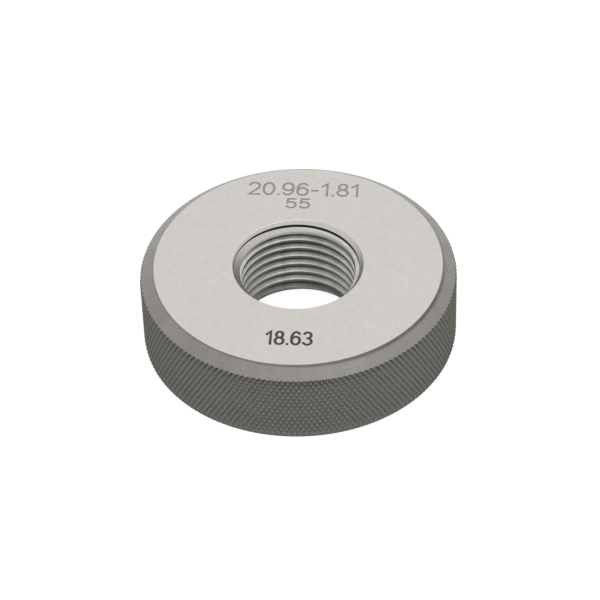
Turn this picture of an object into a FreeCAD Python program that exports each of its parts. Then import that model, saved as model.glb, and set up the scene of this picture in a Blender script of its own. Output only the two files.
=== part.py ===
import FreeCAD, Part
import math
import os

# Solid thread ring gauge for the pipe thread G 1/2. Millimetres, +Z up, lower face on z = 0.

# The ring, alike at both ends
outer_diameter = 53.0
thickness = 16.0
edge_width = 2.4
edge_depth = 1.9

# The thread: fourteen turns to the inch, flanks 55 degrees apart, right-handed. Its flat crests
# stand back a little from the basic minor diameter, to clear the rounded roots of an outside thread.
thread_pitch = 25.4 / 14
minor_diameter = 19.0
flank_angle = 55.0
crest_width = 0.495
root_width = 0.09
groove_depth_at_x = 1.24

# The countersink at each end reaches past the thread's root by this margin
sink_margin = 0.32
countersink_angle = 75.0

outer_radius = outer_diameter / 2
face_radius = outer_radius - edge_width
minor_radius = minor_diameter / 2
slope = math.tan(math.radians(flank_angle / 2))
crest_half = crest_width / 2
root_half = root_width / 2
root_radius = minor_radius + (thread_pitch / 2 - crest_half - root_half) / slope
sink_radius = root_radius + sink_margin
sink_slope = math.tan(math.radians(countersink_angle / 2))
sink_depth = (sink_radius - minor_radius) / sink_slope
origin = FreeCAD.Vector(0, 0, 0)
up = FreeCAD.Vector(0, 0, 1)


def outline(points):
    """A closed outline in the plane of X and Z, from radius and height pairs."""
    corners = [FreeCAD.Vector(radius, 0, height) for radius, height in points]
    return Part.makePolygon(corners + corners[:1])


def turned(points):
    """The solid of revolution of a half section."""
    return Part.Face(outline(points)).revolve(origin, up, 360)


# The blank is a disc whose rim slopes in to two flat faces
disc = turned([
    (0, 0),
    (face_radius, 0),
    (outer_radius, edge_depth),
    (outer_radius, thickness - edge_depth),
    (face_radius, thickness),
    (0, thickness),
])

# The hole has the thread's minor diameter. Its wall is made in six parts around, so that each
# stretch of the thread's crest is a face of its own. They start clear of the crest's two ends.
sixth = Part.makeCylinder(minor_radius, thickness, origin, up, 60)
sixths = []
for step in range(6):
    piece = sixth.copy()
    piece.rotate(origin, up, 60 * step + 30)
    sixths.append(piece)
blank = disc.cut(sixths[0].fuse(sixths[1:]))

# The groove that leaves the thread's crests is swept along a helix from below the lower face
mouth_radius = minor_radius - crest_half / slope / 2
mouth_half = thread_pitch / 2 - crest_half / 2
top_middle = thickness - groove_depth_at_x
turns_down = math.ceil((top_middle + mouth_half + 0.5) / thread_pitch)
start = top_middle - turns_down * thread_pitch
climb = thickness + mouth_half + 0.5 - start
helix = Part.makeLongHelix(thread_pitch, climb, minor_radius, 0)
helix.translate(FreeCAD.Vector(0, 0, start))
groove_section = outline([
    (mouth_radius, start - mouth_half),
    (root_radius, start - root_half),
    (root_radius, start + root_half),
    (mouth_radius, start + mouth_half),
])
groove = Part.Wire(helix.Edges).makePipeShell([groove_section], True, True)
threaded = blank.cut(groove)

# The countersinks come last, so that the thread runs out on their slopes
lower_sink = turned([
    (0, -1),
    (sink_radius + sink_slope, -1),
    (minor_radius, sink_depth),
    (0, sink_depth),
])
upper_sink = lower_sink.mirror(FreeCAD.Vector(0, 0, thickness / 2), up)
ring = threaded.cut([lower_sink, upper_sink])
ring = ring.Solids[0]

os.makedirs("parts", exist_ok=True)
ring.exportStep("parts/gauge_ring.step")
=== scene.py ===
import math
import random
from collections import namedtuple

import bpy
from mathutils import Matrix, Vector
from mathutils.geometry import delaunay_2d_cdt


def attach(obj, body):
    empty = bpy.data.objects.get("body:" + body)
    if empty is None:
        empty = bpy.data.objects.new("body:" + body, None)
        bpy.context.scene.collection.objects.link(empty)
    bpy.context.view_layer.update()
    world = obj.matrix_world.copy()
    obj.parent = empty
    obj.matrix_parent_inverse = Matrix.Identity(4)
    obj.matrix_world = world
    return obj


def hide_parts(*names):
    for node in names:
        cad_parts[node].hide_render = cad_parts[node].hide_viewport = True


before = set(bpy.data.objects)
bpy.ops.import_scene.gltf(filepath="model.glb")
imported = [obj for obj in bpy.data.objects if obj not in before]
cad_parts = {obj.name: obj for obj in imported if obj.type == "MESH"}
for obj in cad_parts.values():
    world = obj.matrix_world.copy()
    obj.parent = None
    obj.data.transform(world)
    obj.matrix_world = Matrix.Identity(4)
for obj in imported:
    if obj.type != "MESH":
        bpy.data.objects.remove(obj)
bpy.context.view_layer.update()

random.seed(7)

# Sizes in millimetres, as in part.py
RIM_RADIUS = 26.5
THICKNESS = 16.0
FACE_RADIUS = 24.1
EDGE_DEPTH = 1.9
PITCH = 25.4 / 14
MINOR_RADIUS = 9.5
CREST_HALF = 0.2475
ROOT_HALF = 0.045
GROOVE_DEPTH_AT_X = 1.24
FLANK_DEGREES = 27.5
FLANK_SLOPE = math.tan(math.radians(FLANK_DEGREES))
ROOT_RADIUS = MINOR_RADIUS + (PITCH / 2 - CREST_HALF - ROOT_HALF) / FLANK_SLOPE
SINK_MARGIN = 0.32
SINK_RADIUS = ROOT_RADIUS + SINK_MARGIN
SINK_DEGREES = 37.5
SINK_SLOPE = math.tan(math.radians(SINK_DEGREES))

MILLIMETRE = 0.001
FULL_TURN = 2 * math.pi

# Corners are rounded to this many digits of a millimetre. Differences below the others count as none.
WELD_DIGITS = 5
NO_AREA = 1e-12
SAME_VALUE = 1e-9
SAME_POINT = 1e-6

# The numbers of the materials, in the order in which the mesh gets them
FACE, RIM_EDGE, KNURL, THREAD, SINK, ENGRAVED, ETCHED = range(7)


# Faces, loops and joins

class Skin:
    """Faces with a material number and a normal for each corner. Corners at one place are one vertex."""

    def __init__(self):
        self.index = {}
        self.points = []
        self.faces = []
        self.kinds = []
        self.normals = []

    def vertex(self, point):
        """The number of the vertex at a point, made where there is none yet."""
        # adding zero turns minus zero into zero
        key = tuple(round(c, WELD_DIGITS) + 0.0 for c in point)
        if key not in self.index:
            self.index[key] = len(self.points)
            self.points.append(key)
        return self.index[key]

    def face(self, corners, kind):
        """Adds a face from (point, normal) pairs in order. A normal of None stands for the face's own."""
        ids = []
        normals = []
        for point, normal in corners:
            number = self.vertex(point)
            if number not in ids:
                ids.append(number)
                normals.append(normal)
        if len(ids) < 3:
            return
        if normals[0] is None:
            a, b, c = (Vector(self.points[number]) for number in ids[:3])
            flat = (b - a).cross(c - a)
            if flat.length < NO_AREA:
                flat = Vector((0, 0, 1))
            normals = [flat.normalized()] * len(ids)
        self.faces.append(ids)
        self.kinds.append(kind)
        self.normals.append(normals)


skin = Skin()


def polar(angle, radius, height):
    """The point at an angle and a radius around the axis."""
    return (radius * math.cos(angle), radius * math.sin(angle), height)


def point_of(corner):
    """The point of a corner that starts with its angle, height and radius."""
    angle, height, radius = corner[:3]
    return polar(angle, radius, height)


def turned_normal(angle, out, up):
    """A unit normal whose parts away from the axis and upwards are given."""
    return Vector((out * math.cos(angle), out * math.sin(angle), up)).normalized()


def split(polygon, value):
    """The parts of a polygon where value is positive and negative. Its corners are tuples of numbers."""
    inside = []
    outside = []
    for a, b in zip(polygon, polygon[1:] + polygon[:1]):
        (inside if value(a) >= 0 else outside).append(a)
        if (value(a) >= 0) != (value(b) >= 0):
            # ends in one order, so that two polygons cut the edge that they share at the same point
            low, high = sorted((a, b))
            share = value(low) / (value(low) - value(high))
            cut = tuple(p + (q - p) * share for p, q in zip(low, high))
            inside.append(cut)
            outside.append(cut)
    return inside, outside


def between(polygon, low, high):
    """The part of a polygon between two heights."""
    part = split(polygon, lambda c: c[1] - low)[0]
    if part:
        part = split(part, lambda c: high - c[1])[0]
    return part


def note_ends(corners, ends):
    """Keeps the corners that lie at one of the heights in ends, where the next faces join."""
    for corner in corners:
        for height in ends:
            if abs(corner[1] - height) < SAME_VALUE:
                ends[height].append((corner[0], height))


def ring(radius, height, count):
    """An even loop, as (angle, point) pairs."""
    angles = [FULL_TURN * k / count for k in range(count)]
    return [(angle, polar(angle, radius, height)) for angle in angles]


def loop(corners, radius):
    """A loop from (angle, height) pairs at one height, in order around the axis."""
    seen = {}
    for angle, height in corners:
        angle %= FULL_TURN
        if FULL_TURN - angle < SAME_VALUE:
            angle = 0.0
        number = skin.vertex(polar(angle, radius, height))
        seen[number] = (angle, skin.points[number])
    return sorted(seen.values())


def zip_loops(first, second, kind, normal_of, reverse):
    """Triangles between two loops. normal_of gives the normal at an angle, on the first loop (0) or the
    second (1). The triangles look away from the axis between a lower loop and an upper one, and up between
    an outer loop and an inner one, unless they are reversed."""

    def corner(loop_points, k, end):
        """Point and normal of a loop's corner k, which may count on past the loop's end."""
        angle, point = loop_points[k % len(loop_points)]
        return point, normal_of(angle, end)

    def turn(loop_points, k):
        """The angle of corner k, which grows on past a full turn."""
        return loop_points[k % len(loop_points)][0] + FULL_TURN * (k // len(loop_points))

    i = 0
    j = 0
    while i < len(first) or j < len(second):
        first_is_next = j >= len(second) or turn(first, i + 1) <= turn(second, j + 1)
        if i < len(first) and first_is_next:
            triangle = [corner(first, i, 0), corner(first, i + 1, 0), corner(second, j, 1)]
            i += 1
        else:
            triangle = [corner(first, i, 0), corner(second, j + 1, 1), corner(second, j, 1)]
            j += 1
        skin.face(triangle[::-1] if reverse else triangle, kind)


def join(last, new, kind, normal_of, top, reverse):
    """Joins a loop to the next one towards the upper or lower face. normal_of counts last as 0, new as 1."""
    if top:
        zip_loops(last, new, kind, normal_of, reverse)
    else:
        zip_loops(new, last, kind, lambda angle, end: normal_of(angle, 1 - end), reverse)


def leaning(tilts, out, up):
    """Normals that lean from the axis by one tilt at each of two loops. out and up are 1 or -1."""

    def normal(angle, end):
        """The normal at an angle, on the first or second loop."""
        return turned_normal(angle, out * math.sin(tilts[end]), up * math.cos(tilts[end]))

    return normal


# The knurled rim. Two families of grooves cross at 30 degrees each side of the axis.
KNURL_COUNT = 180
KNURL_LEAN = math.radians(30)
CELL_WIDE = FULL_TURN * RIM_RADIUS / KNURL_COUNT
CELL_HIGH = CELL_WIDE / math.tan(KNURL_LEAN)
KNURL_SHIFT = 0.11
KNURL_MIDDLE = THICKNESS / 2 + KNURL_SHIFT
KNURL_DEPTH = 0.25
VALLEY_SHARES = (0.9, 1.0)

# The grooves run out deeper at the upper edge and shallower at the lower one, between two heights each
DEEPER_BY = 0.09
DEEPER_FROM = 12.8
DEEPER_TO = 13.7
SHALLOWER_BY = 0.08
SHALLOWER_FROM = 3.4
SHALLOWER_TO = 2.3

# The tips are worn. Each has a small top, as a share of its cell, that domes up and lies inside the rim.
TIP_SHARE = 0.26
TIP_SPREAD = (0.7, 1.15)
TIP_DROP = (0.009, 0.035)
TIP_DOME = 0.012

# The sloped edges lose this much radius for each millimetre of height
CONE_FALL = (RIM_RADIUS - FACE_RADIUS) / EDGE_DEPTH

# The knurl's cells are built this far past the start of each sloped edge, where the grooves have run out
KNURL_REACH = 0.42
RIM_TOP = THICKNESS - EDGE_DEPTH + KNURL_REACH
RIM_LOW = EDGE_DEPTH - KNURL_REACH

# The radius of each crossing once it is made, and the (angle, height) corners at the band's two ends
valleys = {}
rim_ends = {RIM_LOW: [], RIM_TOP: []}


def rim_cone(height):
    """The radius of the nearer sloped edge at a height."""
    return RIM_RADIUS - (max(height, THICKNESS - height) - (THICKNESS - EDGE_DEPTH)) * CONE_FALL


def cone_normal(angle, height):
    """The normal of the nearer sloped edge."""
    return turned_normal(angle, 1, CONE_FALL if height > THICKNESS / 2 else -CONE_FALL)


def lattice(a, b):
    """Angle and height where groove a of one family meets groove b of the other."""
    return (a + b) * math.pi / KNURL_COUNT, KNURL_MIDDLE + CELL_HIGH * (a - b) / 2


def share_of(value, start, end):
    """How far a value has come from start to end, from 0 to 1."""
    return min(max((value - start) / (end - start), 0.0), 1.0)


def valley_radius(a, b):
    """The radius at the bottom of the crossing of two grooves, a little different at each."""
    # a and b count on past a full turn, where the crossings meet the first ones again
    key = ((a + b) % (2 * KNURL_COUNT), a - b)
    if key not in valleys:
        height = lattice(a, b)[1]
        depth = KNURL_DEPTH + DEEPER_BY * share_of(height, DEEPER_FROM, DEEPER_TO)
        depth -= SHALLOWER_BY * share_of(height, SHALLOWER_FROM, SHALLOWER_TO)
        valleys[key] = RIM_RADIUS - depth * random.uniform(*VALLEY_SHARES)
    return valleys[key]


def rim_polygon(polygon):
    """Adds a piece of the knurl, cut to the rim's sloped edges."""
    polygon = between(polygon, RIM_LOW, RIM_TOP)
    if not polygon:
        return
    knurl, cone = split(polygon, lambda c: rim_cone(c[1]) - c[2])
    if knurl:
        skin.face([(point_of(c), None) for c in knurl], KNURL)
    if cone:
        cone = [(angle, height, rim_cone(height)) for angle, height, _ in cone]
        skin.face([(point_of(c), cone_normal(c[0], c[1])) for c in cone], RIM_EDGE)
        note_ends(cone, rim_ends)


def knurl_cell(a, b):
    """One diamond of the knurl: four flanks from the grooves up to the tip's top, and that top. A diamond
    that lies outside the knurled band is left out."""
    middle_angle, middle_height = lattice(a + 0.5, b + 0.5)
    if not RIM_LOW - CELL_HIGH < middle_height < RIM_TOP + CELL_HIGH:
        return
    tip = TIP_SHARE * random.uniform(*TIP_SPREAD)
    tip_radius = RIM_RADIUS - random.uniform(*TIP_DROP)
    valley_ring = []
    top_ring = []
    # as seen from outside: right, top, left, bottom
    for p, q in ((a + 1, b + 1), (a + 1, b), (a, b), (a, b + 1)):
        angle, height = lattice(p, q)
        valley_ring.append((angle, height, valley_radius(p, q)))
        top_angle = middle_angle + (angle - middle_angle) * tip
        top_height = middle_height + (height - middle_height) * tip
        top_ring.append((top_angle, top_height, tip_radius - TIP_DOME))
    crown = (middle_angle, middle_height, tip_radius)
    for n in range(4):
        m = (n + 1) % 4
        rim_polygon([valley_ring[n], valley_ring[m], top_ring[m], top_ring[n]])
        rim_polygon([top_ring[n], top_ring[m], crown])


# the rows reach past the band on both sides
last_row = 2 * (int((RIM_TOP - RIM_LOW) / CELL_HIGH) + 2)
for row in range(-last_row, last_row + 1):
    for column in range(KNURL_COUNT):
        knurl_cell(column, column - row)

# The sloped edges of the rim, each with a narrow rounded corner at the flat face. Their rings lie at these
# shares of the way from the knurl to that corner.
RING_COUNT = 360
EDGE_SHARES = (0.1, 0.5, 1.0)
BREAK = 0.10
BREAK_STEPS = 3
slope_angle = math.atan2(EDGE_DEPTH, RIM_RADIUS - FACE_RADIUS)
break_reach = BREAK * math.tan(slope_angle / 2)


def edge_side(top):
    """Closes one sloped edge up to the flat face, and returns the face's outer loop."""
    sign = 1 if top else -1
    base = THICKNESS if top else 0.0
    start = RIM_TOP if top else RIM_LOW
    last = loop(rim_ends[start], rim_cone(start))

    def across(angle, _):
        """The normal of the slope, alike on both loops."""
        return turned_normal(angle, 1, sign * CONE_FALL)

    for share in EDGE_SHARES:
        depth = abs(base - start) * (1 - share) + break_reach * math.sin(slope_angle) * share
        height = base - sign * depth
        new = ring(rim_cone(height), height, RING_COUNT)
        join(last, new, RIM_EDGE, across, top, reverse=False)
        last = new
    for step in range(BREAK_STEPS):
        tilts = [slope_angle * (1 - done / BREAK_STEPS) for done in (step, step + 1)]
        radius = FACE_RADIUS - break_reach + BREAK * math.sin(tilts[1])
        depth = BREAK * (1 - math.cos(tilts[1]))
        new = ring(radius, base - sign * depth, RING_COUNT)
        kind = RIM_EDGE if step == 0 else FACE
        join(last, new, kind, leaning(tilts, 1, sign), top, reverse=False)
        last = new
    return last


# The thread, with a small round at each edge of its crest
CREST_ROUND = 0.06
CREST_STEPS = 3

# A narrow slot lies beyond the root. Its walls run straight out, and a large slope stands for them in the
# normals.
SLOT_DEPTH = 0.13
SLOT_RADIUS = ROOT_RADIUS + SLOT_DEPTH
SLOT_SLOPE = 60.0

# How far the surface turns from the flank to the crest
FLANK_TURN = math.radians(90 - FLANK_DEGREES)

# Steps around a turn, and the turns built below and above the height of the groove's middle at +X
TURN_STEPS = 240
TURNS_DOWN = 11
TURNS_UP = 3

# The turns are built up to this depth below each face. Nearer the face only the countersink's cone is left.
RUN_OUT = 0.24
BORE_TOP = THICKNESS - RUN_OUT
BORE_LOW = RUN_OUT
bore_ends = {BORE_LOW: [], BORE_TOP: []}


def half_section():
    """(offset along the axis, radius, slope of the radius) from the groove's middle to the crest's."""
    flank = -1 / FLANK_SLOPE
    slot = [
        (0.0, SLOT_RADIUS, 0.0),
        (ROOT_HALF, SLOT_RADIUS, 0.0),
        (ROOT_HALF, SLOT_RADIUS, -SLOT_SLOPE),
        (ROOT_HALF, ROOT_RADIUS, -SLOT_SLOPE),
    ]
    round_offset = PITCH / 2 - CREST_HALF + CREST_ROUND * math.tan(FLANK_TURN / 2)
    round_radius = MINOR_RADIUS + CREST_ROUND
    crest = []
    for step in range(CREST_STEPS + 1):
        turn = FLANK_TURN * (1 - step / CREST_STEPS)
        offset = round_offset - CREST_ROUND * math.sin(turn)
        radius = round_radius - CREST_ROUND * math.cos(turn)
        crest.append((offset, radius, -math.tan(turn)))
    root = (ROOT_HALF, ROOT_RADIUS, flank)
    flank_middle = ((root[0] + crest[0][0]) / 2, (root[1] + crest[0][1]) / 2, flank)
    return slot + [root, flank_middle] + crest


def full_section():
    """The section over a whole pitch, from the middle of one crest to the middle of the next."""
    half = half_section()
    mirrored = [(-offset, radius, -slope) for offset, radius, slope in reversed(half)]
    return [(-PITCH / 2, MINOR_RADIUS, 0.0)] + mirrored + half[1:] + [(PITCH / 2, MINOR_RADIUS, 0.0)]


def sink_cone(height):
    """The radius of the nearer countersink at a height."""
    return SINK_RADIUS - SINK_SLOPE * min(height, THICKNESS - height)


def thread_normal(corner):
    """The normal on the thread, from angle, height, radius and slope of the radius."""
    angle, _, radius, slope = corner
    along = -slope * PITCH / (FULL_TURN * radius)
    c = math.cos(angle)
    s = math.sin(angle)
    return Vector((-c - along * s, -s + along * c, slope)).normalized()


def bore_polygon(polygon):
    """Adds a piece of the thread, cut to the countersinks."""
    polygon = between(polygon, BORE_LOW, BORE_TOP)
    if not polygon:
        return
    thread, cone = split(polygon, lambda c: c[2] - sink_cone(c[1]))
    if thread:
        skin.face([(point_of(c), thread_normal(c)) for c in reversed(thread)], THREAD)
    if cone:
        up = SINK_SLOPE if cone[0][1] > THICKNESS / 2 else -SINK_SLOPE
        cone = [(angle, height, sink_cone(height)) for angle, height, _, _ in cone]
        skin.face([(point_of(c), turned_normal(c[0], -1, up)) for c in reversed(cone)], SINK)
        note_ends(cone, bore_ends)


section = full_section()
groove_at_x = THICKNESS - GROOVE_DEPTH_AT_X
for turn in range(-TURNS_DOWN, TURNS_UP):
    for (offset0, radius0, slope0), (offset1, radius1, slope1) in zip(section, section[1:]):
        for i in range(TURN_STEPS):
            step = i + turn * TURN_STEPS
            height0 = groove_at_x + PITCH * step / TURN_STEPS
            height1 = groove_at_x + PITCH * (step + 1) / TURN_STEPS
            if height1 + offset1 < BORE_LOW or height0 + offset0 > BORE_TOP:
                continue
            angle0 = FULL_TURN * i / TURN_STEPS
            angle1 = FULL_TURN * (i + 1) / TURN_STEPS
            bore_polygon([
                (angle0, height0 + offset0, radius0, slope0),
                (angle1, height1 + offset0, radius0, slope0),
                (angle1, height1 + offset1, radius1, slope1),
                (angle0, height0 + offset1, radius1, slope1),
            ])

# The countersinks' cones go on from the run-outs, each with a rounded corner at the flat face
SINK_START = 0.16
SINK_ROUND = 0.25
SINK_STEPS = 3


def sink_side(top):
    """Closes one countersink up to the flat face, and returns the face's inner loop."""
    sign = 1 if top else -1
    base = THICKNESS if top else 0.0
    start = BORE_TOP if top else BORE_LOW
    last = loop(bore_ends[start], sink_cone(start))
    lean = math.atan2(1, SINK_SLOPE)
    round_radius = SINK_RADIUS + SINK_ROUND * math.tan(lean / 2)
    rings = [(SINK_RADIUS - SINK_START * SINK_SLOPE, SINK_START, lean)]
    for step in range(SINK_STEPS + 1):
        tilt = lean * (1 - step / SINK_STEPS)
        radius = round_radius - SINK_ROUND * math.sin(tilt)
        rings.append((radius, SINK_ROUND * (1 - math.cos(tilt)), tilt))
    last_tilt = lean
    for radius, depth, tilt in rings:
        new = ring(radius, base - sign * depth, TURN_STEPS)
        join(last, new, SINK, leaning((last_tilt, tilt), -1, sign), top, reverse=True)
        last = new
        last_tilt = tilt
    return last


# The figures. Each is one or more strokes in a box one unit high.

def arc(x, y, wide, high, first, last, steps):
    """Points along an ellipse about x, y with two half sizes, from one angle in degrees to another."""
    points = []
    for step in range(steps + 1):
        angle = math.radians(first + (last - first) * step / steps)
        points.append((x + wide * math.cos(angle), y + high * math.sin(angle)))
    return points


# Width and strokes of each figure
FIGURES = {
    "0": (0.64, [arc(0.32, 0.5, 0.30, 0.5, 90, 450, 28)]),
    "1": (0.42, [[(0.04, 0.76), (0.32, 1.0), (0.32, 0.0)]]),
    "2": (0.64, [arc(0.32, 0.70, 0.28, 0.30, 165, -35, 14) + [(0.03, 0.0), (0.63, 0.0)]]),
    "3": (0.62, [arc(0.30, 0.76, 0.25, 0.24, 155, -90, 14),
                 arc(0.30, 0.26, 0.29, 0.26, 90, -155, 16)]),
    "5": (0.62, [[(0.56, 1.0), (0.12, 1.0), (0.07, 0.53)],
                 arc(0.30, 0.33, 0.29, 0.33, 140, -150, 18)]),
    "6": (0.62, [arc(0.34, 0.52, 0.31, 0.48, 45, 180, 12) + [(0.03, 0.31)],
                 arc(0.32, 0.31, 0.29, 0.31, 180, 540, 24)]),
    "8": (0.62, [arc(0.31, 0.76, 0.23, 0.24, -90, 270, 22),
                 arc(0.31, 0.26, 0.29, 0.26, 90, 450, 24)]),
    "9": (0.62, [arc(0.28, 0.48, 0.31, 0.48, 225, 360, 12) + [(0.59, 0.69)],
                 arc(0.30, 0.69, 0.29, 0.31, 0, 360, 24)]),
    ".": (0.10, [[(0.05, 0.0), (0.05, 0.03)]]),
    "-": (0.40, [[(0.03, 0.40), (0.37, 0.40)]]),
}

# A round end has corners at these angles from the way that the stroke heads
CAP_DEGREES = (-60, -30, 0, 30, 60)

# The longest reach of a bend's corner, in half widths. The cosine only keeps the division safe.
LONGEST_MITRE = 1.9
SMALLEST_COSINE = 0.2


def outline_of(stroke, wide):
    """Loops around a stroke of the given half width: two for a closed stroke, else one with round ends."""
    points = []
    for p in stroke:
        if not points or math.dist(p, points[-1]) > SAME_POINT:
            points.append(p)
    closed = math.dist(points[0], points[-1]) < SAME_POINT
    if closed:
        points = points[:-1]
    n = len(points)

    def direction(k):
        """The unit direction from point k to the next."""
        a = points[k % n]
        b = points[(k + 1) % n]
        length = math.dist(a, b)
        return (b[0] - a[0]) / length, (b[1] - a[1]) / length

    def side(k, sign):
        """The corner beside point k, to the left (1) or right (-1)."""
        if closed or 0 < k < n - 1:
            ax, ay = direction(k - 1)
            bx, by = direction(k)
        else:
            ax, ay = direction(0 if k == 0 else n - 2)
            bx, by = ax, ay
        length = math.hypot(-(ay + by), ax + bx)
        mx = -(ay + by) / length
        my = (ax + bx) / length
        reach = min(wide / max(mx * -by + my * bx, SMALLEST_COSINE), wide * LONGEST_MITRE)
        return points[k][0] + sign * mx * reach, points[k][1] + sign * my * reach

    def cap(k, dx, dy):
        """The corners of the round end at point k, which heads in the given direction."""
        heading = math.atan2(dy, dx)
        turns = [heading + math.radians(degrees) for degrees in CAP_DEGREES]
        return [(points[k][0] + wide * math.cos(t), points[k][1] + wide * math.sin(t)) for t in turns]

    right = [side(k, -1) for k in range(n)]
    left = [side(k, 1) for k in range(n)]
    if closed:
        return [right, left]
    end = cap(n - 1, *direction(n - 2))
    dx, dy = direction(0)
    start = cap(0, -dx, -dy)
    return [right + end + left[::-1] + start]


def line_of_figures(text, middle_x, base_y, high, wide_scale, stroke_wide, gap):
    """Outlines of a line of figures, as lists of closed loops for each stroke."""
    total = sum(FIGURES[c][0] * wide_scale + gap for c in text) - gap
    x = -total / 2
    strokes = []
    for c in text:
        wide, figure_strokes = FIGURES[c]
        for stroke in figure_strokes:
            placed = [(middle_x + high * (x + px * wide_scale), base_y + high * py) for px, py in stroke]
            strokes.append(outline_of(placed, stroke_wide / 2))
        x += wide * wide_scale + gap
    return strokes


def inside_loop(x, y, points):
    """Whether a point lies inside a closed loop."""
    hit = False
    for (ax, ay), (bx, by) in zip(points, points[1:] + points[:1]):
        if (ay > y) != (by > y) and x < ax + (y - ay) * (bx - ax) / (by - ay):
            hit = not hit
    return hit


def inside_stroke(x, y, stroke):
    """Between the two loops of a closed stroke, or within the one loop of an open one."""
    hits = [inside_loop(x, y, points) for points in stroke]
    return hits[0] if len(hits) == 1 else hits[0] != hits[1]


# The kind, depth and strokes of each line of figures on the upper face
ENGRAVED_DEPTH = 0.05
ETCHED_DEPTH = 0.015
MARKS = [
    (ENGRAVED, ENGRAVED_DEPTH, line_of_figures("20.96-1.81", middle_x=-0.2, base_y=17.35, high=3.0,
                                               wide_scale=1.0, stroke_wide=0.42, gap=0.19)),
    (ENGRAVED, ENGRAVED_DEPTH, line_of_figures("55", middle_x=-1.0, base_y=14.05, high=2.25,
                                               wide_scale=1.25, stroke_wide=0.38, gap=0.24)),
    (ETCHED, ETCHED_DEPTH, line_of_figures("18.63", middle_x=-0.3, base_y=-19.4, high=2.9,
                                           wide_scale=0.80, stroke_wide=0.48, gap=0.17)),
]

# The flat faces. Rings at these shares of the way in keep the lower one's triangles from growing long.
FACE_RING_SHARES = (0.33, 0.66)
FACE_RING_COUNT = 300

# Blender's number for triangles over the whole hull of the points, and how near two corners are one
WHOLE_HULL = 0
SAME_CORNER = 1e-5

UP = Vector((0, 0, 1))
DOWN = Vector((0, 0, -1))


def lower_face(outer, inner):
    """The plain lower face between two loops."""

    def down(*_):
        """The normal, alike everywhere."""
        return DOWN

    last = outer
    for share in FACE_RING_SHARES:
        radius = FACE_RADIUS + (SINK_RADIUS - FACE_RADIUS) * share
        new = ring(radius, 0.0, FACE_RING_COUNT)
        zip_loops(last, new, FACE, down, reverse=True)
        last = new
    zip_loops(last, inner, FACE, down, reverse=True)


def face_triangles(loops):
    """Triangles of the plane that follow the edges of closed loops, and the places of their corners."""
    points = []
    edges = []
    for loop_points in loops:
        first = len(points)
        count = len(loop_points)
        points.extend(loop_points)
        edges.extend((first + k, first + (k + 1) % count) for k in range(count))
    found = delaunay_2d_cdt([Vector(p) for p in points], edges, [], WHOLE_HULL, SAME_CORNER)
    corners, _, triangles, sources = found[:4]
    places = [points[s[0]] if s else (c.x, c.y) for c, s in zip(corners, sources)]
    return triangles, places


def boxes_of_marks():
    """(lowest x, highest x, lowest y, highest y, stroke, kind, depth) of each stroke."""
    boxes = []
    for kind, depth, strokes in MARKS:
        for stroke in strokes:
            xs = [p[0] for loop_points in stroke for p in loop_points]
            ys = [p[1] for loop_points in stroke for p in loop_points]
            boxes.append((min(xs), max(xs), min(ys), max(ys), stroke, kind, depth))
    return boxes


def mark_at(x, y, boxes):
    """The kind and depth of the upper face at a place."""
    for x0, x1, y0, y1, stroke, kind, depth in boxes:
        if x0 <= x <= x1 and y0 <= y <= y1 and inside_stroke(x, y, stroke):
            return kind, depth
    return FACE, 0.0


def upper_face(outer, inner):
    """The upper face between two loops, with the figures cut into it."""
    marks = [loop_points for _, _, strokes in MARKS for stroke in strokes for loop_points in stroke]
    rims = [[point[:2] for _, point in outer], [point[:2] for _, point in inner]]
    triangles, places = face_triangles(rims + marks)
    # the sides of the hole's loop lie a little nearer the axis than its corners
    hole_radius = min(math.hypot(*p) for p in rims[1]) * math.cos(math.pi / len(inner))
    boxes = boxes_of_marks()
    # what lies beside each edge, by its two ends in the triangle's order
    found = {}
    for triangle in triangles:
        corners = [places[v] for v in triangle]
        x = sum(c[0] for c in corners) / 3
        y = sum(c[1] for c in corners) / 3
        if math.hypot(x, y) < hole_radius:
            continue
        area = sum(a[0] * b[1] - b[0] * a[1] for a, b in zip(corners, corners[1:] + corners[:1]))
        if area < 0:
            triangle = triangle[::-1]
            corners = corners[::-1]
        kind, depth = mark_at(x, y, boxes)
        skin.face([((*c, THICKNESS - depth), UP) for c in corners], kind)
        for a, b in zip(triangle, triangle[1:] + triangle[:1]):
            found[a, b] = (kind, depth)
    # the walls of the figures
    for (a, b), (kind, depth) in found.items():
        _, other_depth = found.get((b, a), (kind, depth))
        if depth > other_depth:
            low = THICKNESS - depth
            high = THICKNESS - other_depth
            wall = [(*places[b], low), (*places[a], low), (*places[a], high), (*places[b], high)]
            skin.face([(point, None) for point in wall], kind)


lower_face(edge_side(False), sink_side(False))
upper_face(edge_side(True), sink_side(True))

mesh = bpy.data.meshes.new("thread_ring")
mesh.from_pydata([tuple(c * MILLIMETRE for c in point) for point in skin.points], [], skin.faces)
mesh.polygons.foreach_set("material_index", skin.kinds)
mesh.polygons.foreach_set("use_smooth", [True] * len(skin.faces))
mesh.normals_split_custom_set([tuple(n) for normals in skin.normals for n in normals])
piece = bpy.data.objects.new("thread_ring", mesh)
bpy.context.scene.collection.objects.link(piece)


# Helpers for materials. They work in millimetres, but these two heights for bumps are in metres.
GRAIN_HEIGHT = 0.00003
SCRATCH_HEIGHT = 0.00002

# Most of a noise lies between these
NOISE_LOW = 0.3
NOISE_HIGH = 0.7

Place = namedtuple("Place", "vector x y z radius")


def set_inputs(tree, made, values):
    """Gives each named or numbered input a constant, or links another node's output to it."""
    for name, value in values.items():
        if isinstance(value, bpy.types.NodeSocket):
            tree.links.new(value, made.inputs[name])
        else:
            made.inputs[name].default_value = value


def node(tree, kind, values=None, **settings):
    """A new shader node with its settings and inputs."""
    made = tree.nodes.new(kind)
    for name, value in settings.items():
        setattr(made, name, value)
    set_inputs(tree, made, values or {})
    return made


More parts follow.
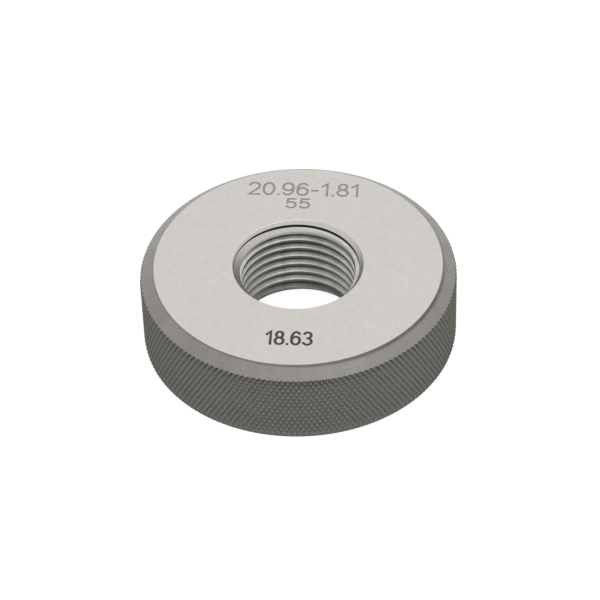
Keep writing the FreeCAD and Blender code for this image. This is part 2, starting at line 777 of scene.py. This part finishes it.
def new_material(name):
    """A material, its node tree and its shader."""
    material = bpy.data.materials.new(name)
    material.use_nodes = True
    tree = material.node_tree
    return material, tree, tree.nodes["Principled BSDF"]


def calc(tree, operation, *values):
    """A number worked out from others, each a constant or another node's output."""
    return node(tree, "ShaderNodeMath", dict(enumerate(values)), operation=operation).outputs[0]


def product(tree, first, *others):
    """Numbers multiplied together."""
    for other in others:
        first = calc(tree, "MULTIPLY", first, other)
    return first


def mixture(tree, a, b, share):
    """A mixture of two numbers, with the given share of the first."""
    return calc(tree, "ADD", product(tree, a, share), product(tree, b, 1 - share))


def scaled(tree, vector, amount):
    """A vector or colour multiplied by a number."""
    return node(tree, "ShaderNodeVectorMath", {0: vector, "Scale": amount}, operation="SCALE").outputs[0]


def millimetres(tree):
    """Object coordinates in millimetres."""
    return scaled(tree, node(tree, "ShaderNodeTexCoord").outputs["Object"], 1 / MILLIMETRE)


def place_on(tree):
    """Object coordinates in millimetres, whole and apart, with the radius from the axis."""
    vector = millimetres(tree)
    x, y, z = node(tree, "ShaderNodeSeparateXYZ", {0: vector}).outputs
    square = calc(tree, "ADD", product(tree, x, x), product(tree, y, y))
    return Place(vector, x, y, z, calc(tree, "SQRT", square))


def noise(tree, vector, scale, detail, rough=0.55):
    """Noise in space, from 0 to 1."""
    values = {"Vector": vector, "Scale": scale, "Detail": detail, "Roughness": rough}
    return node(tree, "ShaderNodeTexNoise", values).outputs["Fac"]


def noise_1d(tree, value, scale, detail):
    """Noise along one number, from 0 to 1."""
    values = {"W": value, "Scale": scale, "Detail": detail}
    return node(tree, "ShaderNodeTexNoise", values, noise_dimensions="1D").outputs["Fac"]


def streaks(tree, place, scale):
    """Noise that changes only with the direction from the axis."""
    x_share = calc(tree, "DIVIDE", place.x, place.radius)
    y_share = calc(tree, "DIVIDE", place.y, place.radius)
    around = node(tree, "ShaderNodeCombineXYZ", {"X": x_share, "Y": y_share}).outputs[0]
    return noise(tree, around, scale, detail=2.0)


def span(tree, value, low, high, to_low, to_high):
    """A number that goes from to_low to to_high as value goes from low to high, and no further."""
    values = {"Value": value, "From Min": low, "From Max": high, "To Min": to_low, "To Max": to_high}
    return node(tree, "ShaderNodeMapRange", values).outputs["Result"]


def two_tone(tree, value, low, dark, high, light):
    """A colour between dark, where value is low, and light, where it is high."""
    ramp = node(tree, "ShaderNodeValToRGB", {"Fac": value})
    first, last = ramp.color_ramp.elements
    first.position = low
    first.color = (*dark, 1)
    last.position = high
    last.color = (*light, 1)
    return ramp.outputs["Color"]


def bump(tree, height, strength, distance, before=None):
    """A normal bent by a height, on top of the one before."""
    values = {"Height": height, "Strength": strength, "Distance": distance}
    if before is not None:
        values["Normal"] = before
    return node(tree, "ShaderNodeBump", values).outputs["Normal"]


def scratches(tree, vector, degrees):
    """Noise drawn out into fine straight lines across the face."""
    values = {"Vector": vector, "Rotation": (0, 0, math.radians(degrees)), "Scale": (9.0, 0.6, 9.0)}
    drawn_out = node(tree, "ShaderNodeMapping", values).outputs["Vector"]
    return noise(tree, drawn_out, scale=1.0, detail=2.0)


def lapped(name, dark, light):
    """Lapped steel: an even satin face with a fine mottled grain and faint crossing scratches."""
    material, tree, shader = new_material(name)
    vector = millimetres(tree)
    cloud = noise(tree, vector, scale=0.9, detail=4.0)
    speckle = noise(tree, vector, scale=3.2, detail=5.0, rough=0.75)
    mottled = mixture(tree, cloud, speckle, share=0.3)
    crossing = calc(tree, "ADD", scratches(tree, vector, degrees=20), scratches(tree, vector, degrees=-65))
    scratched = bump(tree, crossing, 0.05, SCRATCH_HEIGHT)
    set_inputs(tree, shader, {
        "Base Color": two_tone(tree, mottled, NOISE_LOW, dark, NOISE_HIGH, light),
        "Metallic": 1.0,
        "Roughness": span(tree, speckle, NOISE_LOW, NOISE_HIGH, 0.34, 0.46),
        "Normal": bump(tree, speckle, 0.10, GRAIN_HEIGHT, scratched),
    })
    return material


def turned_finish(name, dark, light, rough, shade, lines_share, streak_scale, streak_strength, edge_tint):
    """Satin steel with a fine grain, lines around the axis and streaks along it. shade gives the painted
    shade at each place, and edge_tint dims the gloss at a low angle."""
    material, tree, shader = new_material(name)
    place = place_on(tree)
    # the lines follow each other with the height as well as with the radius, so that they show on any slope
    along = calc(tree, "ADD", place.radius, product(tree, place.z, 0.7))
    lines = noise_1d(tree, along, scale=14.0, detail=3.0)
    grain = noise(tree, place.vector, scale=3.0, detail=5.0, rough=0.7)
    colour = two_tone(tree, mixture(tree, lines, grain, lines_share), NOISE_LOW, dark, NOISE_HIGH, light)
    streak_noise = streaks(tree, place, streak_scale)
    streaked = span(tree, streak_noise, 0.35, 0.65, 1 - streak_strength, 1 + streak_strength)
    fine_lines = bump(tree, lines, 0.3 * lines_share, GRAIN_HEIGHT)
    set_inputs(tree, shader, {
        # the painted shade darkens the base colour here
        "Base Color": scaled(tree, colour, product(tree, shade(tree, place), streaked)),
        "Metallic": 1.0,
        "Specular Tint": (edge_tint, edge_tint, edge_tint, 1),
        "Roughness": span(tree, grain, NOISE_LOW, NOISE_HIGH, rough - 0.05, rough + 0.07),
        "Normal": bump(tree, grain, 0.12, GRAIN_HEIGHT, fine_lines),
    })
    return material


def thread_shade(tree, place):
    """Painted shade: dark in the root, on the smooth land of the crest and at the lower end, and a little
    darker further down the bore.
    """
    # painted shade in the root, on the crest's land, at the lower end and down the bore
    root = span(tree, place.radius, MINOR_RADIUS + 0.66, MINOR_RADIUS + 0.85, 0.96, 0.03)
    crest = span(tree, place.radius, MINOR_RADIUS + 0.005, MINOR_RADIUS + 0.05, 0.16, 1.0)
    low_end = span(tree, place.z, 1.9, 3.4, 0.36, 1.0)
    fall = span(tree, place.z, 3.0, 13.0, 0.93, 1.0)
    return product(tree, root, crest, low_end, fall)


def sink_shade(tree, place):
    """Painted shade: darker towards the thread's crest, and darker at the lower end."""
    # painted shade near the crest and at the lower end
    deep = span(tree, place.radius, MINOR_RADIUS + 0.05, MINOR_RADIUS + 0.4, 0.4, 1.02)
    low_end = span(tree, place.z, 2.0, 4.5, 0.3, 1.0)
    return product(tree, deep, low_end)


def slope_shade(tree, place):
    """Painted shade: a narrow darker line where the slope meets the face, strongest between +X and -Y."""
    # a painted shade line, wider and stronger towards +X and -Y
    reach = span(tree, place.x, -12.0, 12.0, 0.10, 0.36)
    beyond = calc(tree, "SUBTRACT", place.radius, reach)
    line = span(tree, beyond, FACE_RADIUS, FACE_RADIUS + 0.25, 1.0, 0.0)
    strength_by_x = span(tree, place.x, -20.0, 10.0, 0.16, 0.46)
    strength_by_y = span(tree, place.y, -8.0, 4.0, 1.0, 0.3)
    return calc(tree, "SUBTRACT", 1.0, product(tree, line, strength_by_x, strength_by_y))


def knurled(name, dark, light):
    """Blackish steel, paler on the worn tips and a little darker near its lower edge."""
    material, tree, shader = new_material(name)
    place = place_on(tree)
    speckle = noise(tree, place.vector, scale=4.0, detail=4.0, rough=0.7)
    worn = span(tree, place.radius, RIM_RADIUS - 0.10, RIM_RADIUS - 0.015, 0.0, 1.0)
    colour = two_tone(tree, mixture(tree, worn, speckle, share=0.5), 0.15, dark, 0.85, light)
    low_end = span(tree, place.z, EDGE_DEPTH, EDGE_DEPTH + 6.0, 0.95, 1.01)
    set_inputs(tree, shader, {
        "Base Color": scaled(tree, colour, low_end),
        "Metallic": 1.0,
        "Specular Tint": (0.2, 0.2, 0.2, 1),
        "Roughness": span(tree, speckle, NOISE_LOW, NOISE_HIGH, 0.46, 0.6),
        "Normal": bump(tree, speckle, 0.25, GRAIN_HEIGHT),
    })
    return material


def cut_mark(name, dark, light):
    """The rough dark floor of a figure."""
    material, tree, shader = new_material(name)
    speckle = noise(tree, millimetres(tree), scale=6.0, detail=3.0, rough=0.6)
    set_inputs(tree, shader, {
        "Base Color": two_tone(tree, speckle, NOISE_LOW, dark, NOISE_HIGH, light),
        "Metallic": 0.7,
        "Roughness": 0.6,
        "Normal": bump(tree, speckle, 0.3, GRAIN_HEIGHT),
    })
    return material


MATERIALS = {
    FACE: lapped("lapped_steel", dark=(0.545, 0.526, 0.494), light=(0.69, 0.668, 0.634)),
    RIM_EDGE: turned_finish(
        "satin_edge", dark=(0.28, 0.268, 0.248), light=(0.40, 0.386, 0.362), rough=0.45, shade=slope_shade,
        lines_share=0.1, streak_scale=7.0, streak_strength=0.05, edge_tint=1.0),
    KNURL: knurled("knurled_steel", dark=(0.170, 0.166, 0.151), light=(0.262, 0.256, 0.232)),
    THREAD: turned_finish(
        "ground_thread", dark=(0.68, 0.67, 0.64), light=(0.80, 0.79, 0.76), rough=0.38, shade=thread_shade,
        lines_share=0.3, streak_scale=5.0, streak_strength=0.12, edge_tint=1.0),
    SINK: turned_finish(
        "countersink", dark=(0.63, 0.612, 0.58), light=(0.75, 0.73, 0.695), rough=0.38, shade=sink_shade,
        lines_share=0.3, streak_scale=30.0, streak_strength=0.04, edge_tint=0.6),
    ENGRAVED: cut_mark("engraved_figures", dark=(0.30, 0.29, 0.27), light=(0.40, 0.39, 0.37)),
    ETCHED: cut_mark("etched_figures", dark=(0.055, 0.055, 0.05), light=(0.10, 0.10, 0.09)),
}
for number in sorted(MATERIALS):
    mesh.materials.append(MATERIALS[number])

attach(piece, "root")
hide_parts("gauge_ring")

# The floor, pale and plain
FLOOR_GLOW = 0.96
FLOOR_SHADOW = (0.13, 0.13, 0.13, 1)
FLOOR_PAINT = (0.9, 0.9, 0.9, 1)


def background_ray(tree):
    """1 for rays that show the background: from the camera, a gloss or a clear body."""
    ray = node(tree, "ShaderNodeLightPath").outputs
    reflected = calc(tree, "MAXIMUM", ray["Is Glossy Ray"], ray["Is Transmission Ray"])
    return calc(tree, "MAXIMUM", ray["Is Camera Ray"], reflected)


def floor_finish():
    """Seen directly the floor is white, with a faint shadow. For the light it throws back it is plain pale
    paint. Its underside is clear, so that the ring can be seen from below."""
    material = bpy.data.materials.new("floor_white")
    material.use_nodes = True
    tree = material.node_tree
    tree.nodes.clear()
    glow = node(tree, "ShaderNodeEmission", {"Strength": FLOOR_GLOW}).outputs[0]
    shadow = node(tree, "ShaderNodeBsdfDiffuse", {"Color": FLOOR_SHADOW}).outputs[0]
    white = node(tree, "ShaderNodeAddShader", {0: glow, 1: shadow}).outputs[0]
    paint = node(tree, "ShaderNodeBsdfDiffuse", {"Color": FLOOR_PAINT}).outputs[0]
    seen = node(tree, "ShaderNodeMixShader", {0: background_ray(tree), 1: paint, 2: white}).outputs[0]
    clear = node(tree, "ShaderNodeBsdfTransparent").outputs[0]
    from_below = node(tree, "ShaderNodeNewGeometry").outputs["Backfacing"]
    one_sided = node(tree, "ShaderNodeMixShader", {0: from_below, 1: seen, 2: clear}).outputs[0]
    node(tree, "ShaderNodeOutputMaterial", {"Surface": one_sided})
    return material


# In metres. The floor lies a little under the ring, so that the two flat surfaces don't flicker.
FLOOR_DROP = 0.00002
FLOOR_HALF = 2
FLOOR_CORNERS = ((-1, -1), (1, -1), (1, 1), (-1, 1))
floor_points = [(x * FLOOR_HALF, y * FLOOR_HALF, -FLOOR_DROP) for x, y in FLOOR_CORNERS]
floor_mesh = bpy.data.meshes.new("floor")
floor_mesh.from_pydata(floor_points, [], [(0, 1, 2, 3)])
floor_mesh.materials.append(floor_finish())
floor = bpy.data.objects.new("floor", floor_mesh)
bpy.context.scene.collection.objects.link(floor)

# The surroundings are an even pale white
WORLD_LIGHT = 0.8
world = bpy.data.worlds.new("tent")
bpy.context.scene.world = world
world.use_nodes = True
tent = world.node_tree.nodes["Background"]
tent.inputs["Color"].default_value = (1.0, 1.0, 1.0, 1)
tent.inputs["Strength"].default_value = WORLD_LIGHT


def panel(name, place, wide, high, radiance):
    """A soft light of a given brightness, aimed at the middle of the floor. Its sizes are in metres."""
    light = bpy.data.lights.new(name, "AREA")
    light.shape = "RECTANGLE"
    light.size = wide
    light.size_y = high
    light.energy = radiance * math.pi * wide * high
    holder = bpy.data.objects.new(name, light)
    holder.location = place
    holder.rotation_euler = (-Vector(place)).to_track_quat("-Z", "Y").to_euler()
    bpy.context.scene.collection.objects.link(holder)


panel("back_light", place=(0.0, 0.45, 0.45), wide=0.6, high=0.4, radiance=0.3)
panel("top_light", place=(0.1, -0.05, 0.6), wide=0.35, high=0.35, radiance=1.0)

# The camera, fitted to the photo's edges. It stands off the face's centre, moved by OFFSET across its view,
# and these lengths are in millimetres.
ELEVATION = math.radians(43.04)
ROLL = math.radians(-1.925)
AZIMUTH = math.radians(5.0)
DISTANCE = 500.0
OFFSET = (0.138, -6.068)
FOCAL_PIXELS = 3000.7
PICTURE_PIXELS = 600
SENSOR_WIDTH = 36.0

# The nearest that the camera sees, in metres
NEAREST_SEEN = 0.01

back = Vector((0, -math.cos(ELEVATION), math.sin(ELEVATION)))
level = Vector((1, 0, 0))
steep = back.cross(level)
centre = Vector((0, 0, THICKNESS)) + level * OFFSET[0] + steep * OFFSET[1] + back * DISTANCE
right = math.cos(ROLL) * level + math.sin(ROLL) * steep
up = -math.sin(ROLL) * level + math.cos(ROLL) * steep
view = Matrix((right, up, back)).transposed().to_4x4()
view.translation = centre * MILLIMETRE
camera_data = bpy.data.cameras.new("camera")
camera_data.sensor_width = SENSOR_WIDTH
camera_data.lens = FOCAL_PIXELS * SENSOR_WIDTH / PICTURE_PIXELS
camera_data.clip_start = NEAREST_SEEN
camera = bpy.data.objects.new("camera", camera_data)
camera.matrix_world = Matrix.Rotation(AZIMUTH, 4, "Z") @ view
bpy.context.scene.collection.objects.link(camera)
bpy.context.scene.camera = camera
bpy.context.scene.view_settings.view_transform = "Standard"
